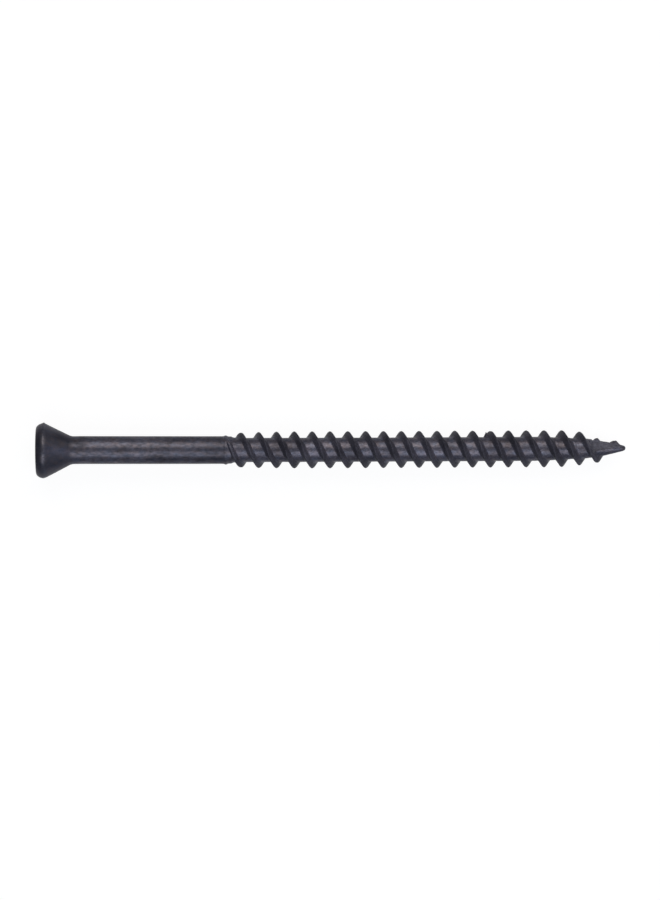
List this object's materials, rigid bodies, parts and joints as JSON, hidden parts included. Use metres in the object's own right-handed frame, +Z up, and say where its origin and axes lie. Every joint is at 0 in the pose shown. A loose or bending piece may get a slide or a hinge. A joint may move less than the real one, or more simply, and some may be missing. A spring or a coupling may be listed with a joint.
{
  "type": "wood screw",
  "caption": "Slim wood screw with a small countersunk trim head, a plain shank, a coarse right-hand thread and a sharp cut point, for fixing trim, decking and flooring.",
  "frame": {"origin": "centre of the head's flat face", "axes": "+X along the screw from the head to the point, +Z up as the screw lies on its side, with the flat cut of the point facing up and towards +Y"},
  "size_m": [0.0571, 0.0054, 0.0054],
  "materials": {
    "black_steel": "satin black phosphate with fine lengthwise drawing marks"
  },
  "bodies": {
    "root": {"head": "black_steel", "shank": "black_steel", "bead": "black_steel", "thread_core": "black_steel", "thread_start_a": "black_steel", "thread_start_b": "black_steel", "point": "black_steel"}
  },
  "joints": []
}
